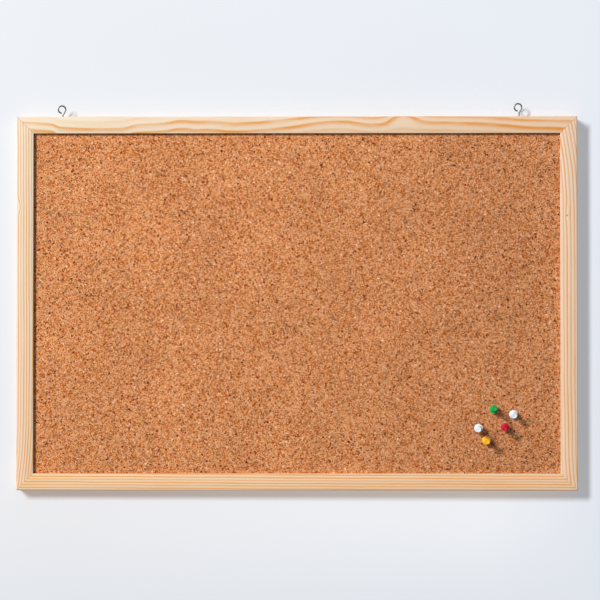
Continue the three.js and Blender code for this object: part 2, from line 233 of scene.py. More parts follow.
# Pine frame. Four planed pine bars, grooved along the inside for the panel, with the front edges
# eased. They are mitred at 45 degrees and glued, with slots in the back for the mitre nails.
RAIL_FACE = board_high.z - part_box("top_rail")[0].z
RAIL_DEPTH = board_high.y - board_low.y
GROOVE_DEPTH = 0.006
FRONT_LIP = 0.0038
BACK_LIP = 0.0021
FRONT_ROUND = 0.0012
INNER_ROUND = 0.0004
BACK_ROUND = 0.0006
MITRE_GAP = 0.00007
TIP_WEAR = 0.0004
RAIL_LOOPS = 64
PLANING_WAVE = 0.00022
PLANING_REACH = 0.05
SLOT_CLEARANCE = 0.00015
SLOT_CUT_PAST = 0.001
NAIL_STEEL = 0.0005
EYE_HOLE_RADIUS = 0.00109
EYE_HOLE_DEPTH = 0.01085
HAIR = 1e-6


def work_on(piece):
    """Select this piece alone and make it the active one."""
    bpy.ops.object.select_all(action="DESELECT")
    piece.select_set(True)
    bpy.context.view_layer.objects.active = piece


def add_block(name, low, high):
    """A block between two corners, as the start of a piece."""
    bpy.ops.object.select_all(action="DESELECT")
    bpy.ops.mesh.primitive_cube_add(size=1, location=(low + high) / 2)
    block = bpy.context.active_object
    block.name = name
    block.scale = high - low
    bpy.ops.object.transform_apply(location=True, rotation=True, scale=True)
    return block


def choose_faces(piece, wanted):
    """In edit mode, select the faces that pass the test and nothing else."""
    bpy.ops.mesh.select_mode(type="FACE")
    bpy.ops.mesh.select_all(action="DESELECT")
    mesh = bmesh.from_edit_mesh(piece.data)
    for face in mesh.faces:
        face.select_set(wanted(face.calc_center_median(), face.normal))
    bmesh.update_edit_mesh(piece.data)


def choose_edges(piece, wanted):
    """In edit mode, select the edges whose two ends both pass the test and nothing else."""
    bpy.ops.mesh.select_mode(type="EDGE")
    bpy.ops.mesh.select_all(action="DESELECT")
    mesh = bmesh.from_edit_mesh(piece.data)
    for edge in mesh.edges:
        edge.select_set(wanted(edge.verts[0].co) and wanted(edge.verts[1].co))
    bmesh.update_edit_mesh(piece.data)


def slice_through(place, normal, **cut):
    """In edit mode, cut the whole mesh with a plane, and clear or fill a side if asked."""
    bpy.ops.mesh.select_all(action="SELECT")
    bpy.ops.mesh.bisect(plane_co=place, plane_no=normal, **cut)


def combine(piece, other, operation):
    """Weld another shape to a piece or cut it out, and remove the other."""
    work_on(piece)
    change = piece.modifiers.new("combine", "BOOLEAN")
    change.operation = operation
    change.solver = "EXACT"
    change.object = other
    bpy.ops.object.modifier_apply(modifier=change.name)
    bpy.data.objects.remove(other)


def take_away(piece, cutters):
    """Cut several shapes out of a piece at once."""
    work_on(cutters[0])
    for cutter in cutters:
        cutter.select_set(True)
    bpy.ops.object.join()
    combine(piece, cutters[0], "DIFFERENCE")


def smooth(piece, degrees=35):
    """Shade a piece smooth except over its sharp edges."""
    work_on(piece)
    bpy.ops.object.shade_smooth_by_angle(angle=math.radians(degrees))


def mill_rail(name, length):
    """One bar along X with its outer edge at z = 0 and its back at y = 0."""
    half = length / 2
    rail = add_block(name, Vector((-half, -RAIL_DEPTH, -RAIL_FACE)), Vector((half, 0, 0)))
    bpy.ops.object.mode_set(mode="EDIT")
    groove_front = FRONT_LIP - RAIL_DEPTH
    slice_through((0, groove_front, 0), (0, 1, 0))
    slice_through((0, -BACK_LIP, 0), (0, 1, 0))
    choose_faces(rail, lambda at, out: out.z < -0.9 and groove_front < at.y < -BACK_LIP)
    bpy.ops.mesh.extrude_region_move(TRANSFORM_OT_translate={"value": (0, 0, GROOVE_DEPTH)})
    choose_edges(rail, lambda at: at.y < HAIR - RAIL_DEPTH and abs(at.z) < HAIR)
    bpy.ops.mesh.bevel(offset=FRONT_ROUND, segments=4, affect="EDGES")
    choose_edges(rail, lambda at: at.y < HAIR - RAIL_DEPTH and at.z < HAIR - RAIL_FACE)
    bpy.ops.mesh.bevel(offset=INNER_ROUND, segments=3, affect="EDGES")
    choose_edges(rail, lambda at: at.y > -HAIR and (abs(at.z) < HAIR or at.z < HAIR - RAIL_FACE))
    bpy.ops.mesh.bevel(offset=BACK_ROUND, segments=3, affect="EDGES")
    for loop in range(1, RAIL_LOOPS):
        slice_through((half - length * loop / RAIL_LOOPS, 0, 0), (1, 0, 0))
    for hand in (-1, 1):
        mitre = (hand * (half - MITRE_GAP), 0, 0)
        slice_through(mitre, (hand, 0, -1), clear_outer=True, use_fill=True)
        tip = (hand * (half - TIP_WEAR), 0, 0)
        slice_through(tip, (hand, 0, 1), clear_outer=True, use_fill=True)
    bpy.ops.object.mode_set(mode="OBJECT")
    slots = []
    for row in ("outer", "inner"):
        nail_low, nail_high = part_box(f"v_nail_top_left_{row}")
        inset = board_high.z - nail_high.z
        reach = nail_high.x - nail_low.x
        for hand in (-1, 1):
            mitre_end = hand * (half - inset + SLOT_CLEARANCE)
            leg_end = hand * (half - inset - reach - SLOT_CLEARANCE)
            near_x, far_x = sorted((mitre_end, leg_end))
            floor = nail_low.y - SLOT_CLEARANCE
            under = -inset - NAIL_STEEL - SLOT_CLEARANCE
            over = -inset + SLOT_CLEARANCE
            low, high = Vector((near_x, floor, under)), Vector((far_x, SLOT_CUT_PAST, over))
            slots.append(add_block("slot", low, high))
    take_away(rail, slots)
    return rail


def set_rail(rail, turn, at):
    """Turn a rail about Y to its side of the board, move it there and plane it slightly uneven."""
    work_on(rail)
    rail.rotation_euler = (0, turn, 0)
    rail.location = at
    bpy.ops.object.transform_apply(location=True, rotation=True, scale=True)
    waves = rail.modifiers.new("planing", "DISPLACE")
    waves.texture = planing
    waves.texture_coords = "GLOBAL"
    waves.strength = PLANING_WAVE
    bpy.ops.object.modifier_apply(modifier="planing")
    smooth(rail)


def copy_of(piece, name):
    """A copy of a piece, with its own mesh."""
    work_on(piece)
    bpy.ops.object.duplicate()
    bpy.context.active_object.name = name
    return bpy.context.active_object


planing = bpy.data.textures.new("planing", "CLOUDS")
planing.noise_scale = PLANING_REACH
sides = {
    "top_rail": (0, Vector((board_middle.x, 0, board_high.z))),
    "right_stile": (math.pi / 2, Vector((board_high.x, 0, board_middle.z))),
    "bottom_rail": (math.pi, Vector((board_middle.x, 0, board_low.z))),
    "left_stile": (-math.pi / 2, Vector((board_low.x, 0, board_middle.z))),
}
rails = {}
rails["top_rail"] = mill_rail("pine_top_rail", board_width)
rails["bottom_rail"] = copy_of(rails["top_rail"], "pine_bottom_rail")
rails["left_stile"] = mill_rail("pine_left_stile", board_high.z - board_low.z)
rails["right_stile"] = copy_of(rails["left_stile"], "pine_right_stile")
eye_joints = [joint for joint in frame["joints"] if joint["name"].endswith("eye_turn")]
eye_holes = []
for joint in eye_joints:
    x, y, z = joint["pos_m"]
    bpy.ops.object.select_all(action="DESELECT")
    bpy.ops.mesh.primitive_cylinder_add(
        vertices=24, radius=EYE_HOLE_RADIUS, depth=EYE_HOLE_DEPTH * 2, location=(x, y, 0)
    )
    eye_holes.append(bpy.context.active_object)
take_away(rails["top_rail"], eye_holes)
for node, (turn, at) in sides.items():
    set_rail(rails[node], turn, at)


def sockets(group, direction, **kinds):
    """Name the sockets of a node group."""
    for name, kind in kinds.items():
        label = name.replace("_", " ").capitalize()
        group.interface.new_socket(name=label, in_out=direction, socket_type="NodeSocket" + kind)


def stretch(tree, vector, along, depth, across):
    """Scale a place by how far a pattern runs along, into and across the grain."""
    by = (1 / along, 1 / depth, 1 / across)
    return add(tree, "VectorMath", {0: vector, 1: by}, operation="MULTIPLY").outputs[0]


def noise_value(tree, vector, scale=1.0, detail=2.0):
    """A smooth random value from 0 to 1."""
    return add(tree, "TexNoise", {"Vector": vector, "Scale": scale, "Detail": detail}).outputs["Fac"]


def ease(tree, value, start, end, low=0.0, high=1.0):
    """The same as spread, with a slow start and finish."""
    return spread(tree, value, start, end, low, high, "SMOOTHSTEP")


def emboss(tree, shader, height, strength, distance):
    """Let a pattern of heights turn the light on a surface."""
    bump = add(tree, "Bump", {"Height": height, "Strength": strength, "Distance": distance})
    tree.links.new(bump.outputs[0], shader.inputs["Normal"])


def coat(piece, material):
    """Give a piece this material and no other."""
    piece.data.materials.clear()
    piece.data.materials.append(material)


# The grain of planed pine: year rings cut by the face, each pale and soft, then darker and hard.
pine = bpy.data.node_groups.new("pine_grain", "ShaderNodeTree")
sockets(pine, "INPUT", place="Vector", drift="Float", ring_width="Float", tilt="Float")
sockets(pine, "INPUT", softness="Float", wave="Float", seed="Float", faint="Float")
sockets(pine, "INPUT", first_year="Float", uneven_years="Float")
sockets(pine, "INPUT", knot_along="Float", knot_across="Float", knot_length="Float")
sockets(pine, "INPUT", knot_width="Float", knot_lift="Float", knot_heart="Float")
sockets(pine, "INPUT", early_wood="Color", late_wood="Color", blush="Color", heart_wood="Color")
sockets(pine, "OUTPUT", color="Color", late="Float", fibre="Float")
given = pine.nodes.new("NodeGroupInput").outputs
shift = add(pine, "CombineXYZ", {0: given["Seed"], 1: given["Seed"], 2: given["Seed"]}).outputs[0]
grown = add(pine, "VectorMath", {0: given["Place"], 1: shift}, operation="ADD").outputs[0]
axes = add(pine, "SeparateXYZ", {0: given["Place"]}).outputs
# The rings sway along the bar and swerve round a knot.
slow_wave = noise_value(pine, stretch(pine, grown, 60, 30, 30), detail=1)
quick_wave = noise_value(pine, stretch(pine, grown, 14, 5, 5), detail=1)
sway = calc(pine, "MULTIPLY", calc(pine, "SUBTRACT", slow_wave, 0.5), given["Wave"])
ripple = calc(pine, "MULTIPLY", calc(pine, "SUBTRACT", quick_wave, 0.5), 0.5)
from_knot = calc(pine, "SUBTRACT", axes["X"], given["Knot along"])
over_knot = calc(pine, "SUBTRACT", axes["Z"], given["Knot across"])
long_way = calc(pine, "POWER", calc(pine, "DIVIDE", from_knot, given["Knot length"]), 2.0)
short_way = calc(pine, "POWER", calc(pine, "DIVIDE", over_knot, given["Knot width"]), 2.0)
near_knot = calc(pine, "EXPONENT", calc(pine, "MULTIPLY", calc(pine, "ADD", long_way, short_way), -1.0))
swirl = calc(pine, "MULTIPLY", near_knot, given["Knot lift"])
wander = calc(pine, "ADD", calc(pine, "ADD", given["Drift"], swirl), calc(pine, "ADD", sway, ripple))
# Each point grew in one year, early or late in its season.
across = calc(pine, "ADD", axes["Z"], wander)
flat_part = calc(pine, "MULTIPLY", across, calc(pine, "COSINE", given["Tilt"]))
deep_part = calc(pine, "MULTIPLY", axes["Y"], calc(pine, "SINE", given["Tilt"]))
years = calc(pine, "DIVIDE", calc(pine, "ADD", flat_part, deep_part), given["Ring width"])
lean_years = noise_value(pine, stretch(pine, grown, 400, 9, 9), detail=1)
years = calc(pine, "ADD", years, calc(pine, "MULTIPLY", lean_years, 0.4))
season = calc(pine, "FRACT", years)
year = calc(pine, "ADD", calc(pine, "FLOOR", years), given["First year"])
vigour = add(pine, "TexWhiteNoise", {"W": year}, noise_dimensions="1D").outputs["Value"]


def late_growth(darkens, ends):
    """How dark a ring is through its season: slowly darker, then pale again at once."""
    return calc(pine, "MULTIPLY", ease(pine, season, *darkens), ease(pine, season, *ends, 1.0, 0.0))


# Late wood is stronger in some years than in others, and fades in places.
sharp_late = late_growth((0.42, 0.88), (0.92, 1.0))
soft_late = late_growth((0.15, 0.72), (0.76, 1.0))
by_softness = {0: given["Softness"], 2: sharp_late, 3: soft_late}
blended = add(pine, "Mix", by_softness, data_type="FLOAT").outputs[0]
lack = calc(pine, "MULTIPLY", calc(pine, "SUBTRACT", 1.0, vigour), given["Uneven years"])
strength = calc(pine, "SUBTRACT", 1.0, lack)
fading = ease(pine, noise_value(pine, stretch(pine, grown, 45, 6, 6)), 0.25, 0.7, given["Faint"], 1.0)
late = calc(pine, "MULTIPLY", calc(pine, "MULTIPLY", blended, strength), fading)
late = calc(pine, "MINIMUM", calc(pine, "MULTIPLY", late, 1.3), 1.0)
# Slow tones and fine fibres lie over the rings, and a knot has a dark heart.
fibre = noise_value(pine, stretch(pine, grown, 6, 0.25, 0.25), detail=3)
tone = noise_value(pine, stretch(pine, grown, 90, 10, 10))
pale = mix(pine, ease(pine, tone, 0.3, 0.75), given["Early wood"], given["Blush"])
ringed = mix(pine, late, pale, given["Late wood"])
streak = ease(pine, fibre, 0.25, 0.75, 0.95, 1.03)
streaked = mix(pine, 1.0, ringed, grey(pine, streak), "MULTIPLY")
off_heart = add(pine, "CombineXYZ", {0: from_knot, 1: over_knot}).outputs[0]
heart_reach = add(pine, "VectorMath", {0: off_heart}, operation="LENGTH").outputs["Value"]
heart_share = calc(pine, "DIVIDE", heart_reach, given["Knot heart"])
heart = ease(pine, heart_share, 0.35, 1.0, 0.85, 0.0)
streaked = mix(pine, heart, streaked, given["Heart wood"])
taken = pine.nodes.new("NodeGroupOutput").inputs
pine.links.new(streaked, taken["Color"])
pine.links.new(late, taken["Late"])
pine.links.new(fibre, taken["Fibre"])

# How the rings run on each bar. The drift is how far, in millimetres, they wander across the face
# from one end of the bar to the other, in its own direction, and the tints are those of its ends.
grains = {
    "top_rail": {
        "Ring width": 2.9, "Tilt": 1.19, "Softness": 0.6, "Wave": 1.4, "Seed": 3.0, "Faint": 0.45,
        "First year": 8.0, "Uneven years": 0.75,
        "Knot along": 114, "Knot across": 0, "Knot length": 15, "Knot width": 9,
        "Knot lift": -9, "Knot heart": 0.01,
        "Early wood": (0.715, 0.575, 0.455, 1), "Late wood": (0.665, 0.28, 0.055, 1),
        "Blush": (0.71, 0.53, 0.385, 1), "Heart wood": (0.45, 0.18, 0.07, 1),
        "tints": ((0.978, 1.06, 1.05, 1), (1.04, 0.937, 0.824, 1)),
        "drift": [
            (-300, 9), (-264, 11), (-251, 15.5), (-190, 16.5), (-171, 12.5), (-141, 10.7), (-122, 8.6),
            (-109, 9.3), (-93, 9.3), (-66, 11), (-42, 10), (-26, 8.6), (-4, 6), (22, 2.5), (49, 1.2),
            (65, 2.5), (82, 4), (92, 3.8), (105, 2.2), (121, 1.7), (137, 1.9), (164, 2.4), (199, 3.4),
            (225, 5.4), (242, 7), (282, 8.6), (300, 9),
        ],
    },
    "right_stile": {
        "Ring width": 3.5, "Tilt": 0.35, "Softness": 0.35, "Wave": 1.2, "Seed": 11.0, "Faint": 0.75,
        "First year": 11.0, "Uneven years": 0.55,
        "Knot along": -93.8, "Knot across": -11.2, "Knot length": 9, "Knot width": 3,
        "Knot lift": 1.4, "Knot heart": 1.5,
        "Early wood": (0.765, 0.60, 0.462, 1), "Late wood": (0.735, 0.315, 0.095, 1),
        "Blush": (0.765, 0.57, 0.41, 1), "Heart wood": (0.44, 0.16, 0.08, 1),
        "tints": ((0.988, 1.02, 1.07, 1), (1.02, 1.01, 0.983, 1)),
        "drift": [
            (-200, 12), (-170, 6), (-145, 2.5), (-110, 0.5), (-60, 0), (120, -1), (170, -2), (200, -5),
        ],
    },
    "bottom_rail": {
        "Ring width": 2.9, "Tilt": 0.25, "Softness": 0.2, "Wave": 0.7, "Seed": 23.0, "Faint": 0.75,
        "First year": 23.0, "Uneven years": 0.3,
        "Knot along": 0, "Knot across": 90, "Knot length": 9, "Knot width": 3,
        "Knot lift": 0, "Knot heart": 0.01,
        "Early wood": (0.745, 0.57, 0.395, 1), "Late wood": (0.72, 0.27, 0.05, 1),
        "Blush": (0.745, 0.535, 0.33, 1), "Heart wood": (0.45, 0.18, 0.07, 1),
        "tints": ((1.06, 1.01, 0.991, 1), (0.981, 0.976, 0.92, 1)),
        "drift": [(-300, 0), (0, 1.2), (300, 3.0)],
    },
    "left_stile": {
        "Ring width": 2.75, "Tilt": 0.3, "Softness": 0.3, "Wave": 1.2, "Seed": 37.0, "Faint": 0.75,
        "First year": 37.0, "Uneven years": 0.4,
        "Knot along": 103.5, "Knot across": -3.4, "Knot length": 7, "Knot width": 3.2,
        "Knot lift": 2.2, "Knot heart": 0.5,
        "Early wood": (0.682, 0.562, 0.464, 1), "Late wood": (0.66, 0.27, 0.05, 1),
        "Blush": (0.683, 0.548, 0.405, 1), "Heart wood": (0.55, 0.25, 0.10, 1),
        "tints": ((1.04, 0.989, 0.902, 1), (0.994, 1.08, 1.11, 1)),
        "drift": [(-200, -6.5), (-175, -3.2), (-150, -1.2), (-110, 0), (0, 0), (200, -1.5)],
    },
}
DRIFT_REACH = 40.0
for node, grain in grains.items():
    turn, at = sides[node]
    material, tree, shader, place_mm = new_material("planed_pine_" + node)
    upright = Matrix.Rotation(-turn, 3, "Y")
    rail_place = add(tree, "Mapping", {
        "Vector": place_mm, "Rotation": (0, -turn, 0), "Location": upright @ at * -1000
    }).outputs[0]
    half = max(abs(along) for along, across in grain["drift"])
    along = add(tree, "SeparateXYZ", {0: rail_place}).outputs["X"]
    share = calc(tree, "MULTIPLY_ADD", along, 0.5 / half, 0.5)
    wander = add(tree, "FloatCurve", {"Value": share})
    curve = wander.mapping.curves[0]
    for number, (along_mm, across_mm) in enumerate(grain["drift"]):
        spot = (0.5 + 0.5 * along_mm / half, 0.5 + across_mm / DRIFT_REACH)
        last = number == len(grain["drift"]) - 1
        if number == 0:
            curve.points[0].location = spot
        elif last:
            curve.points[len(curve.points) - 1].location = spot
        else:
            curve.points.new(*spot)
    wander.mapping.update()
    drift = calc(tree, "MULTIPLY", calc(tree, "SUBTRACT", wander.outputs[0], 0.5), DRIFT_REACH)
    rings = tree.nodes.new("ShaderNodeGroup")
    rings.node_tree = pine
    for name, value in grain.items():
        if name not in ("drift", "tints"):
            rings.inputs[name].default_value = value
    tree.links.new(rail_place, rings.inputs["Place"])
    tree.links.new(drift, rings.inputs["Drift"])
    tinted = mix(tree, 1.0, rings.outputs["Color"], mix(tree, share, *grain["tints"]), "MULTIPLY")
    tree.links.new(tinted, shader.inputs["Base Color"])
    rough = calc(tree, "MULTIPLY_ADD", rings.outputs["Fibre"], 0.25, 0.42)
    tree.links.new(rough, shader.inputs["Roughness"])
    ridges = calc(tree, "MULTIPLY_ADD", rings.outputs["Late"], 0.6, rings.outputs["Fibre"])
    emboss(tree, shader, ridges, 0.35, 0.0002)
    shader.inputs["Specular IOR Level"].default_value = 0.35
    coat(rails[node], material)
    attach(rails[node], "board")
    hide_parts(node)

# Mitre nails. Bent strips of spring steel, two to a corner, pressed into the back of the joints.
# Their steel is dull with brighter blotches.
NAIL_DULL = (0.36, 0.37, 0.39, 1)
NAIL_BRIGHT = (0.52, 0.53, 0.55, 1)
nail_steel, tree, shader, place_mm = new_material("nail_steel")
scratch = noise_value(tree, stretch(tree, place_mm, 0.3, 4, 0.3))
blotch = noise_value(tree, place_mm, 0.4)
tree.links.new(mix(tree, blotch, NAIL_DULL, NAIL_BRIGHT), shader.inputs["Base Color"])
shader.inputs["Metallic"].default_value = 1.0
tree.links.new(ease(tree, scratch, 0.3, 0.7, 0.28, 0.5), shader.inputs["Roughness"])
for corner in ("top_left", "top_right", "bottom_right", "bottom_left"):
    for row in ("outer", "inner"):
        coat(frame["nodes"][f"v_nail_{corner}_{row}"], nail_steel)

# Cork sheet. Cork granules pressed together with glue and sliced into a sheet two millimetres
# thick, so its face is a mosaic of small tan crumbs with dark bark specks and open pits.
CORK_SPREAD = (3, 2)
CORK_CUTS = 60
CORK_RELIEF = 0.00012
RELIEF_FINE = 0.0021
RELIEF_COARSE = 0.0047
CORK_PITS = 2600
PIT_RADIUS = (0.0010, 0.0026)
PIT_OPEN = (0.15, 0.8)
PIT_DEPTH = 0.0006
PIT_GRID = 0.004
NEEDLE_HOLE_RADIUS = 0.00085
NEEDLE_HOLE_LENGTH = 0.04
PIN_NAMES = ("green_pin", "upper_white_pin", "lower_white_pin", "red_pin", "yellow_pin")
pin_joints = [joint for joint in frame["joints"] if joint["type"] == "slide"]
pin_axes = {joint["child"]: Vector(joint["axis"]) for joint in pin_joints}


def needle_tip(pin):
    """The point of a pin's needle."""
    points = [vertex.co for vertex in frame["nodes"][pin + "_needle"].data.vertices]
    return min(points, key=lambda point: point.dot(pin_axes[pin]))


def pin_lean(pin):
    """The turn that takes an upright piece to the lean of a pin."""
    return Vector((0, 0, 1)).rotation_difference(pin_axes[pin]).to_euler()


cork_low, cork_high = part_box("cork_sheet")
cork = add_block("cork_face", cork_low, cork_high)
bpy.ops.object.mode_set(mode="EDIT")
for column in range(1, CORK_SPREAD[0]):
    x = cork_low.x + (cork_high.x - cork_low.x) * column / CORK_SPREAD[0]
    slice_through((x, 0, 0), (1, 0, 0))
for row in range(1, CORK_SPREAD[1]):
    z = cork_low.z + (cork_high.z - cork_low.z) * row / CORK_SPREAD[1]
    slice_through((0, 0, z), (0, 0, 1))
for cuts in (CORK_CUTS, 1):
    choose_faces(cork, lambda at, out: out.y < -0.9)
    bpy.ops.mesh.subdivide(number_cuts=cuts)
bpy.ops.object.mode_set(mode="OBJECT")
holes = []
for pin in PIN_NAMES:
    bpy.ops.object.select_all(action="DESELECT")
    bpy.ops.mesh.primitive_cylinder_add(
        vertices=16,
        radius=NEEDLE_HOLE_RADIUS,
        depth=NEEDLE_HOLE_LENGTH,
        location=needle_tip(pin),
        rotation=pin_lean(pin),
    )
    holes.append(bpy.context.active_object)
dice = random.Random(5)
pits = {}
for number in range(CORK_PITS):
    x = dice.uniform(cork_low.x, cork_high.x)
    z = dice.uniform(cork_low.z, cork_high.z)
    pit = (x, z, dice.uniform(*PIT_RADIUS), dice.uniform(*PIT_OPEN))
    pits.setdefault((int(x / PIT_GRID), int(z / PIT_GRID)), []).append(pit)
openness = cork.data.attributes.new("pit", "FLOAT", "POINT")
for number, vertex in enumerate(cork.data.vertices):
    point = vertex.co
    if point.y > cork_low.y + HAIR:
        continue
    crumbs = noise.noise(point / RELIEF_FINE) * 0.6 + noise.noise(point / RELIEF_COARSE) * 0.4
    hollow = 0.0
    cell = (int(point.x / PIT_GRID), int(point.z / PIT_GRID))
    for i in (-1, 0, 1):
        for k in (-1, 0, 1):
            for x, z, radius, open_share in pits.get((cell[0] + i, cell[1] + k), ()):
                near = math.hypot(point.x - x, point.z - z) / radius
                hollow = max(hollow, open_share * (1 - near * near)) if near < 1 else hollow
    openness.data[number].value = hollow
    vertex.co.y += CORK_RELIEF * (0.5 - 0.5 * crumbs) + PIT_DEPTH * hollow
take_away(cork, holes)
smooth(cork, 60)


def ramp(tree, value, *stops):
    """A colour for each value, through the colours given."""
    made = add(tree, "ValToRGB", {0: value})
    elements = made.color_ramp.elements
    while len(elements) < len(stops):
        elements.new(0.5)
    for element, (position, colour) in zip(elements, stops):
        element.position = position
        element.color = (*colour, 1)
    return made.outputs["Color"]


def cells(tree, vector, size, feature="F1"):
    """Random cells about as large as the size given, in millimetres."""
    return add(tree, "TexVoronoi", {"Vector": vector, "Scale": 1 / size}, feature=feature).outputs


def cell_pick(tree, cell, channel=0):
    """A random value for each cell."""
    return add(tree, "SeparateColor", {0: cell["Color"]}).outputs[channel]


CORK_SHADES = (
    (0.0, (0.29, 0.046, 0.005)),
    (0.25, (0.49, 0.125, 0.019)),
    (0.5, (0.64, 0.239, 0.066)),
    (0.75, (0.71, 0.355, 0.156)),
    (1.0, (0.725, 0.47, 0.29)),
)
GRANULE_MM = 2.6
CRUMB_MM = 1.0
DUST_MM = 0.45
SEAM_MM = 1.7
BARK_MM = 1.6
RAGGED_MM = (1.1, 1.1, 1.1)
BASE_TONE = -0.66
GRANULE_TONE = 0.12
CRUMB_TONE = 1.2
DUST_TONE = 0.35
VEIN_TONE = 0.20
GREY_ABOVE = 0.965
BARK_BELOW = 0.046
PALE_ABOVE = 0.994
PINK_CORK = (0.72, 0.335, 0.168, 1)
GREY_CORK = (0.29, 0.15, 0.065, 1)
# Painted shade in the gaps between crumbs and in the pits.
SEAM_GAP_SHADE = (0.215, 0.052, 0.010, 1)
BARK_BROWN = (0.095, 0.014, 0.002, 1)
PALE_CORK = (0.85, 0.55, 0.35, 1)
PIT_SHADE = (0.245, 0.065, 0.016, 1)
# Painted shade: the sheet grows duller and bluer towards the right.
CORK_LEFT_PAINTED_LIGHT = (1.01, 1.005, 1.035, 1)
CORK_RIGHT_PAINTED_SHADE = (0.955, 0.96, 1.025, 1)
CORK_PAINTED_SHADE_MM = (20, 250)
cork_crumbs, tree, shader, place_mm = new_material("cork_crumbs")
rough_edge = add(tree, "TexNoise", {"Vector": place_mm, "Scale": 0.9, "Detail": 2}).outputs["Color"]
centred = add(tree, "VectorMath", {0: rough_edge, 1: (0.5, 0.5, 0.5)}, operation="SUBTRACT").outputs[0]
pushed = {0: centred, 1: RAGGED_MM, 2: place_mm}
ragged = add(tree, "VectorMath", pushed, operation="MULTIPLY_ADD").outputs[0]
granule = cells(tree, ragged, GRANULE_MM)
crumb = cells(tree, ragged, CRUMB_MM)
dust = cells(tree, ragged, DUST_MM)
veins = noise_value(tree, place_mm, 2.6, 2)
# Granules, crumbs and dust each have a tone of their own, and some granules are pink or grey.
tone = calc(tree, "MULTIPLY_ADD", cell_pick(tree, granule), GRANULE_TONE, BASE_TONE)
crumb_tone = calc(tree, "POWER", cell_pick(tree, crumb), 0.5)
tone = calc(tree, "MULTIPLY_ADD", crumb_tone, CRUMB_TONE, tone)
tone = calc(tree, "MULTIPLY_ADD", cell_pick(tree, dust), DUST_TONE, tone)
tone = calc(tree, "MULTIPLY_ADD", veins, VEIN_TONE, tone)
colour = ramp(tree, tone, *CORK_SHADES)
pinkness = ease(tree, cell_pick(tree, granule, 2), 0.5, 1.0, 0.0, 0.45)
colour = mix(tree, pinkness, colour, PINK_CORK)
is_grey = calc(tree, "GREATER_THAN", cell_pick(tree, granule, 1), GREY_ABOVE)
colour = mix(tree, calc(tree, "MULTIPLY", is_grey, 0.6), colour, GREY_CORK)
# Painted shade darkens some seams, as gaps between crumbs, and the open pits, as hollows; bark specks and
# a few pale ones are the cork's own.
seams = cells(tree, ragged, SEAM_MM, "DISTANCE_TO_EDGE")["Distance"]
gappy = ease(tree, noise_value(tree, place_mm, 0.5), 0.45, 0.65)
gap_shade = calc(tree, "MULTIPLY", ease(tree, seams, 0.03, 0.12, 0.85, 0.0), gappy)
colour = mix(tree, gap_shade, colour, SEAM_GAP_SHADE)
bark = cells(tree, ragged, BARK_MM)
is_bark = calc(tree, "LESS_THAN", cell_pick(tree, bark, 1), BARK_BELOW)
how_dark = calc(tree, "MULTIPLY_ADD", cell_pick(tree, bark, 2), 0.6, 0.4)
colour = mix(tree, calc(tree, "MULTIPLY", how_dark, is_bark), colour, BARK_BROWN)
is_pale = calc(tree, "GREATER_THAN", cell_pick(tree, bark, 1), PALE_ABOVE)
colour = mix(tree, calc(tree, "MULTIPLY", is_pale, 0.8), colour, PALE_CORK)
# Painted shade: the pits are darker where they are deeper.
pit = add(tree, "Attribute", attribute_name="pit", attribute_type="GEOMETRY").outputs["Fac"]
colour = mix(tree, calc(tree, "MULTIPLY", pit, 0.7), colour, PIT_SHADE)
# The sheet is slightly uneven as a whole, and painted shade makes it duller and bluer towards the right,
# where the lamp falls off.
cloud = noise_value(tree, place_mm, 0.012, 2)
shade = ease(tree, cloud, 0.3, 0.7, 0.95, 1.05)
colour = mix(tree, 1.0, colour, grey(tree, shade), "MULTIPLY")
to_right = ease(tree, add(tree, "SeparateXYZ", {0: place_mm}).outputs["X"], *CORK_PAINTED_SHADE_MM)
painted_falloff = mix(tree, to_right, CORK_LEFT_PAINTED_LIGHT, CORK_RIGHT_PAINTED_SHADE)
tree.links.new(mix(tree, 1.0, colour, painted_falloff, "MULTIPLY"), shader.inputs["Base Color"])
tree.links.new(ease(tree, veins, 0.2, 0.8, 0.75, 0.95), shader.inputs["Roughness"])
shader.inputs["Specular IOR Level"].default_value = 0.06
facets = calc(tree, "MULTIPLY_ADD", cell_pick(tree, crumb, 2), 0.6, calc(tree, "MULTIPLY", veins, 0.8))
facets = calc(tree, "ADD", facets, ease(tree, seams, 0.0, 0.15, -0.6, 0.0))
emboss(tree, shader, facets, 0.5, 0.0004)
coat(cork, cork_crumbs)
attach(cork, "board")
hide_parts("cork_sheet")

# Softboard core and backing. The needles hold in soft board of felted wood fibre behind the cork,
# and a thin sheet of brown hardboard, smooth on its outer side, closes the back.
FELT_SHADES = ((0.25, (0.30, 0.20, 0.11)), (0.75, (0.50, 0.37, 0.22)))
CHIP_SHADES = ((0.2, (0.17, 0.085, 0.04)), (0.5, (0.25, 0.13, 0.062)), (0.8, (0.34, 0.19, 0.095)))
FLECK_COLOUR = (0.44, 0.28, 0.15, 1)
softboard, tree, shader, place_mm = new_material("softboard")
felt = noise_value(tree, stretch(tree, place_mm, 3, 0.6, 0.6), detail=4)
tree.links.new(ramp(tree, felt, *FELT_SHADES), shader.inputs["Base Color"])
shader.inputs["Roughness"].default_value = 0.95
emboss(tree, shader, felt, 0.6, 0.0005)
coat(frame["nodes"]["softboard_core"], softboard)

hardboard, tree, shader, place_mm = new_material("hardboard")
chips = noise_value(tree, stretch(tree, place_mm, 7, 7, 2), detail=5)
flecks = noise_value(tree, stretch(tree, place_mm, 1.2, 1, 5), detail=3)
flecked = ease(tree, flecks, 0.62, 0.75, 0.0, 0.6)
brown = mix(tree, flecked, ramp(tree, chips, *CHIP_SHADES), FLECK_COLOUR)
tree.links.new(brown, shader.inputs["Base Color"])
tree.links.new(ease(tree, chips, 0.2, 0.8, 0.42, 0.65), shader.inputs["Roughness"])
emboss(tree, shader, chips, 0.25, 0.0002)
coat(frame["nodes"]["backing_board"], hardboard)

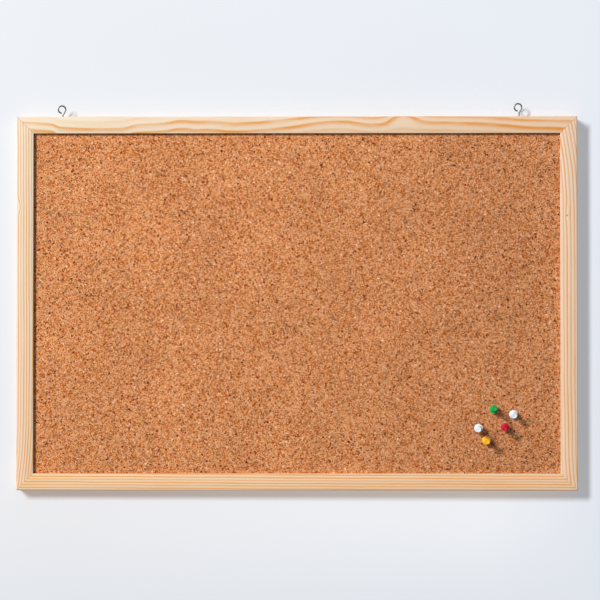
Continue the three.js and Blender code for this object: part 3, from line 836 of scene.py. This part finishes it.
# Screw eyes. Zinc-plated wire rolled into a ring, with a screw thread on the straight shank, and
# turned by hand into the top edge of the frame, so no two stand at quite the same height.
EYE_WIRE = 0.0016
EYE_RADIUS = 0.0039
EYE_DROP = 0.0061
EYE_OFFSET = 0.0009
EYE_END_GAP = 0.0005
EYE_TIP = 0.0014
THREAD_LENGTH = 0.0085
THREAD_PITCH = 0.0011
THREAD_HEIGHT = 0.00032
THREAD_CORE = 0.00124
RING_STEPS = 64
BEND_STEPS = 8
WIRE_SIDES = 20
SHANK_SIDES = 24
THREAD_ROWS = 10
# Painted dark reflection: the zinc is coloured far darker than bright zinc, standing in for a dark room
# reflected in it.
ZINC_DULL_REFLECTING_DARK = (0.13, 0.14, 0.15, 1)
ZINC_BRIGHT_REFLECTING_DARK = (0.24, 0.25, 0.27, 1)
# How high each eye's wire bends over into its ring, and the ring's turn in degrees.
EYE_STANCE = {"left_eye": (0.0018, 9), "right_eye": (0.0042, -7)}


def roll_eye(name, rise):
    """An eye with its shank down Z and the rail's edge at z = 0."""
    middle = Vector((-EYE_OFFSET, 0, rise + EYE_DROP))
    reach = math.hypot(EYE_DROP, EYE_OFFSET)
    start = math.atan2(-EYE_DROP, EYE_OFFSET) + math.acos(EYE_RADIUS / reach)
    end = start + 2 * math.pi - math.acos(1 - (EYE_WIRE + EYE_END_GAP) / EYE_RADIUS)
    free_end = middle + EYE_RADIUS * Vector((math.cos(end), 0, math.sin(end)))
    bpy.ops.object.select_all(action="DESELECT")
    bpy.ops.mesh.primitive_circle_add(
        vertices=WIRE_SIDES,
        radius=EYE_WIRE / 2,
        fill_type="NGON",
        location=free_end,
        rotation=(0, -end, 0),
    )
    eye = bpy.context.active_object
    eye.name = name
    bpy.ops.object.transform_apply(location=True, rotation=True, scale=True)
    bpy.ops.object.mode_set(mode="EDIT")
    bpy.ops.mesh.select_all(action="SELECT")
    bpy.ops.mesh.spin(steps=RING_STEPS, angle=start - end, center=middle, axis=(0, 1, 0))
    meet = middle + EYE_RADIUS * Vector((math.cos(start), 0, math.sin(start)))
    corner = Vector((0, 0, rise))
    slant = (corner - meet).normalized()
    bend = math.acos(-slant.z)
    bend_radius = EYE_WIRE * 0.75
    setback = bend_radius * math.tan(bend / 2)
    bpy.ops.mesh.extrude_region_move(
        TRANSFORM_OT_translate={"value": corner - slant * setback - meet}
    )
    bend_middle = (bend_radius, 0, rise - setback)
    bpy.ops.mesh.spin(steps=BEND_STEPS, angle=bend, center=bend_middle, axis=(0, 1, 0))
    bpy.ops.mesh.extrude_region_move(
        TRANSFORM_OT_translate={"value": (0, 0, -EYE_WIRE - rise + setback)}
    )
    bpy.ops.mesh.select_all(action="SELECT")
    bpy.ops.mesh.remove_doubles(threshold=1e-7)
    bpy.ops.mesh.normals_make_consistent(inside=False)
    bpy.ops.object.mode_set(mode="OBJECT")
    return eye


def cut_thread(eye):
    """Join a threaded, pointed shank to the foot of the wire."""
    turns = THREAD_LENGTH / THREAD_PITCH
    rows = round(turns * THREAD_ROWS)
    top = -EYE_WIRE / 2
    bottom = top - THREAD_LENGTH
    bpy.ops.object.select_all(action="DESELECT")
    bpy.ops.mesh.primitive_uv_sphere_add(segments=SHANK_SIDES, ring_count=rows + 2, radius=1)
    shank = bpy.context.active_object
    ring_gap = math.pi / (rows + 2)
    for vertex in shank.data.vertices:
        fall = math.acos(max(-1, min(1, vertex.co.z)))
        row = round(fall / ring_gap) - 1
        if row < 0:
            vertex.co = (0, 0, top)
        elif row > rows:
            vertex.co = (0, 0, bottom - EYE_TIP)
        else:
            turn = math.atan2(vertex.co.y, vertex.co.x)
            climb = (rows - row) / rows * THREAD_LENGTH
            phase = (climb / THREAD_PITCH - turn / (2 * math.pi)) % 1
            fade = min(1, row / THREAD_ROWS, (rows - row) / THREAD_ROWS)
            radius = THREAD_CORE / 2 + THREAD_HEIGHT * (1 - 2 * abs(phase - 0.5)) * fade
            vertex.co = (radius * math.cos(turn), radius * math.sin(turn), bottom + climb)
    combine(eye, shank, "UNION")


zinc, tree, shader, place_mm = new_material("zinc_plate")
frost = noise_value(tree, place_mm, 1.3, 3)
drawn = noise_value(tree, stretch(tree, place_mm, 0.25, 0.25, 0.25), detail=2)
tree.links.new(mix(tree, frost, ZINC_DULL_REFLECTING_DARK, ZINC_BRIGHT_REFLECTING_DARK), shader.inputs["Base Color"])
tree.links.new(ease(tree, drawn, 0.3, 0.7, 0.34, 0.5), shader.inputs["Roughness"])
shader.inputs["Metallic"].default_value = 1.0
emboss(tree, shader, drawn, 0.15, 0.00005)
for joint in eye_joints:
    body = joint["child"]
    rise, turn = EYE_STANCE[body]
    eye = roll_eye("zinc_" + body, rise)
    cut_thread(eye)
    work_on(eye)
    eye.rotation_euler = (0, 0, math.radians(turn))
    eye.location = joint["pos_m"]
    bpy.ops.object.transform_apply(location=True, rotation=True, scale=True)
    smooth(eye, 50)
    coat(eye, zinc)
    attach(eye, body)
    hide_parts(body.replace("_eye", "_screw_eye"))

# Push pins. Each has a grip moulded in coloured plastic, with a wide collar, a thin waist and a
# small dished head, on a pressed-in steel needle, and was pushed part way into the cork.
GRIP_HEIGHT = 0.013
HEAD_RADIUS = 0.0029
HEAD_THICKNESS = 0.0022
HEAD_DISH = 0.00025
WAIST_RADIUS = 0.0019
COLLAR_RADIUS = 0.0045
COLLAR_THICKNESS = 0.0014
NEEDLE_RADIUS = 0.00055
NEEDLE_LENGTH = 0.010
NEEDLE_POINT = 0.0022
SOCKET_DEPTH = 0.0085
SOCKET_RADIUS = 0.00065
SOCKET_PLAY = 0.0001
NEEDLE_TIP_RADIUS = 0.00003
GRIP_SIDES = 48
WAIST_STEPS = 16
NEEDLE_SIDES = 20
NEEDLE_DULL = (0.60, 0.61, 0.62, 1)
NEEDLE_BRIGHT = (0.70, 0.70, 0.70, 1)


def turned_edge(middle, radius, start, end, steps=5):
    """Points round a moulded edge, by angles in degrees in the outline's plane."""
    angles = [math.radians(start + (end - start) * step / steps) for step in range(steps + 1)]
    return [(middle[0] + radius * math.cos(a), middle[1] + radius * math.sin(a)) for a in angles]


def raise_outline(name, outline, sides):
    """Build a round piece ring by ring, from the first point of its outline to the last."""
    bpy.ops.object.select_all(action="DESELECT")
    radius, height = outline[0]
    bpy.ops.mesh.primitive_circle_add(
        vertices=sides, radius=radius, fill_type="NGON", location=(0, 0, height)
    )
    piece = bpy.context.active_object
    piece.name = name
    bpy.ops.object.transform_apply(location=True, rotation=True, scale=True)
    bpy.ops.object.mode_set(mode="EDIT")
    bpy.ops.mesh.select_all(action="SELECT")
    for new_radius, new_height in outline[1:]:
        bpy.ops.mesh.extrude_region_move(
            TRANSFORM_OT_translate={"value": (0, 0, new_height - height)}
        )
        bpy.ops.transform.resize(value=(new_radius / radius, new_radius / radius, 1))
        radius, height = new_radius, new_height
    bpy.ops.mesh.select_all(action="SELECT")
    bpy.ops.mesh.normals_make_consistent(inside=False)
    bpy.ops.object.mode_set(mode="OBJECT")
    return piece


def grip_outline():
    """The grip's outline as (radius, height above its foot), from its socket round to its head."""
    edge = COLLAR_THICKNESS / 4
    rim = HEAD_THICKNESS / 4
    head_foot = GRIP_HEIGHT - HEAD_THICKNESS
    span = head_foot - COLLAR_THICKNESS
    points = [(SOCKET_RADIUS, SOCKET_DEPTH), (SOCKET_RADIUS, 0)]
    points += turned_edge((COLLAR_RADIUS - edge, edge), edge, -90, 0)
    points += turned_edge((COLLAR_RADIUS - edge, COLLAR_THICKNESS - edge), edge, 0, 90)
    ends = (COLLAR_RADIUS - edge, COLLAR_THICKNESS), (HEAD_RADIUS - rim, head_foot)
    pulls = (WAIST_RADIUS, COLLAR_THICKNESS + edge), (WAIST_RADIUS, COLLAR_THICKNESS + span / 2)
    for step in range(1, WAIST_STEPS):
        t = step / WAIST_STEPS
        weights = ((1 - t) ** 3, 3 * (1 - t) ** 2 * t, 3 * (1 - t) * t * t, t ** 3)
        along = (ends[0], pulls[0], pulls[1], ends[1])
        points.append(tuple(sum(w * p[k] for w, p in zip(weights, along)) for k in (0, 1)))
    points += turned_edge((HEAD_RADIUS - rim, head_foot + rim), rim, -90, 0)
    points += turned_edge((HEAD_RADIUS - rim, GRIP_HEIGHT - rim), rim, 0, 90)
    dish = HEAD_RADIUS - 2 * rim
    dished = [
        (dish + rim * 0.45, 0.35),
        (dish, 0.85),
        (dish * 0.9, 1),
        (dish * 0.4, 1),
        (dish * 0.17, 1),
        (dish * 0.12, 0.7),
    ]
    return points + [(radius, GRIP_HEIGHT - HEAD_DISH * share) for radius, share in dished]


moulded = bpy.data.node_groups.new("moulded_plastic", "ShaderNodeTree")
sockets(moulded, "INPUT", place="Vector", color="Color", deep="Color")
sockets(moulded, "OUTPUT", color="Color", roughness="Float", orange_peel="Float")
given = moulded.nodes.new("NodeGroupInput").outputs
swirl = noise_value(moulded, given["Place"], 0.25, 3)
peel = noise_value(moulded, given["Place"], 2.2, 2)
taken = moulded.nodes.new("NodeGroupOutput").inputs
swirled = mix(moulded, ease(moulded, swirl, 0.3, 0.7), given["Color"], given["Deep"])
moulded.links.new(swirled, taken["Color"])
moulded.links.new(ease(moulded, peel, 0.3, 0.7, 0.40, 0.55), taken["Roughness"])
moulded.links.new(peel, taken["Orange peel"])

PIN_PLASTICS = {
    "green_pin": ("green_plastic", (0.007, 0.335, 0.064, 1), (0.005, 0.285, 0.052, 1)),
    "upper_white_pin": ("white_plastic", (0.735, 0.79, 0.86, 1), (0.70, 0.76, 0.84, 1)),
    "lower_white_pin": ("white_plastic", (0.735, 0.79, 0.86, 1), (0.70, 0.76, 0.84, 1)),
    "red_pin": ("red_plastic", (0.53, 0.009, 0.032, 1), (0.47, 0.008, 0.028, 1)),
    "yellow_pin": ("yellow_plastic", (0.96, 0.47, 0.02, 1), (0.92, 0.42, 0.016, 1)),
}
needle_steel, tree, shader, place_mm = new_material("needle_steel")
polish = noise_value(tree, stretch(tree, place_mm, 0.3, 2.5, 0.3))
tree.links.new(mix(tree, polish, NEEDLE_DULL, NEEDLE_BRIGHT), shader.inputs["Base Color"])
tree.links.new(ease(tree, polish, 0.3, 0.7, 0.12, 0.25), shader.inputs["Roughness"])
shader.inputs["Metallic"].default_value = 1.0
plastics = {}
for name, colour, deep in PIN_PLASTICS.values():
    if name in plastics:
        continue
    plastics[name], tree, shader, place_mm = new_material(name)
    skin = tree.nodes.new("ShaderNodeGroup")
    skin.node_tree = moulded
    tree.links.new(place_mm, skin.inputs["Place"])
    skin.inputs["Color"].default_value = colour
    skin.inputs["Deep"].default_value = deep
    tree.links.new(skin.outputs["Color"], shader.inputs["Base Color"])
    tree.links.new(skin.outputs["Roughness"], shader.inputs["Roughness"])
    shader.inputs["Specular IOR Level"].default_value = 0.25
    emboss(tree, shader, skin.outputs["Orange peel"], 0.1, 0.0001)

first_grip = raise_outline("grip", grip_outline(), GRIP_SIDES)
needle_outline = [
    (NEEDLE_TIP_RADIUS, -NEEDLE_LENGTH),
    (NEEDLE_RADIUS, NEEDLE_POINT - NEEDLE_LENGTH),
    (NEEDLE_RADIUS, SOCKET_DEPTH - SOCKET_PLAY),
]
first_needle = raise_outline("needle", needle_outline, NEEDLE_SIDES)
for pin in PIN_NAMES:
    slot = PIN_PLASTICS[pin][0]
    for part, kind, first, material, part_slot in (
        ("grip", "moulded", first_grip, plastics[slot], slot),
        ("needle", "steel", first_needle, needle_steel, "needle_steel"),
    ):
        piece = copy_of(first, f"{pin}_{kind}_{part}")
        piece.rotation_euler = pin_lean(pin)
        piece.location = needle_tip(pin) + pin_axes[pin] * NEEDLE_LENGTH
        bpy.ops.object.transform_apply(location=True, rotation=True, scale=True)
        smooth(piece, 40)
        coat(piece, material)
        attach(piece, pin)
        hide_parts(f"{pin}_{part}")
bpy.data.objects.remove(first_grip)
bpy.data.objects.remove(first_needle)
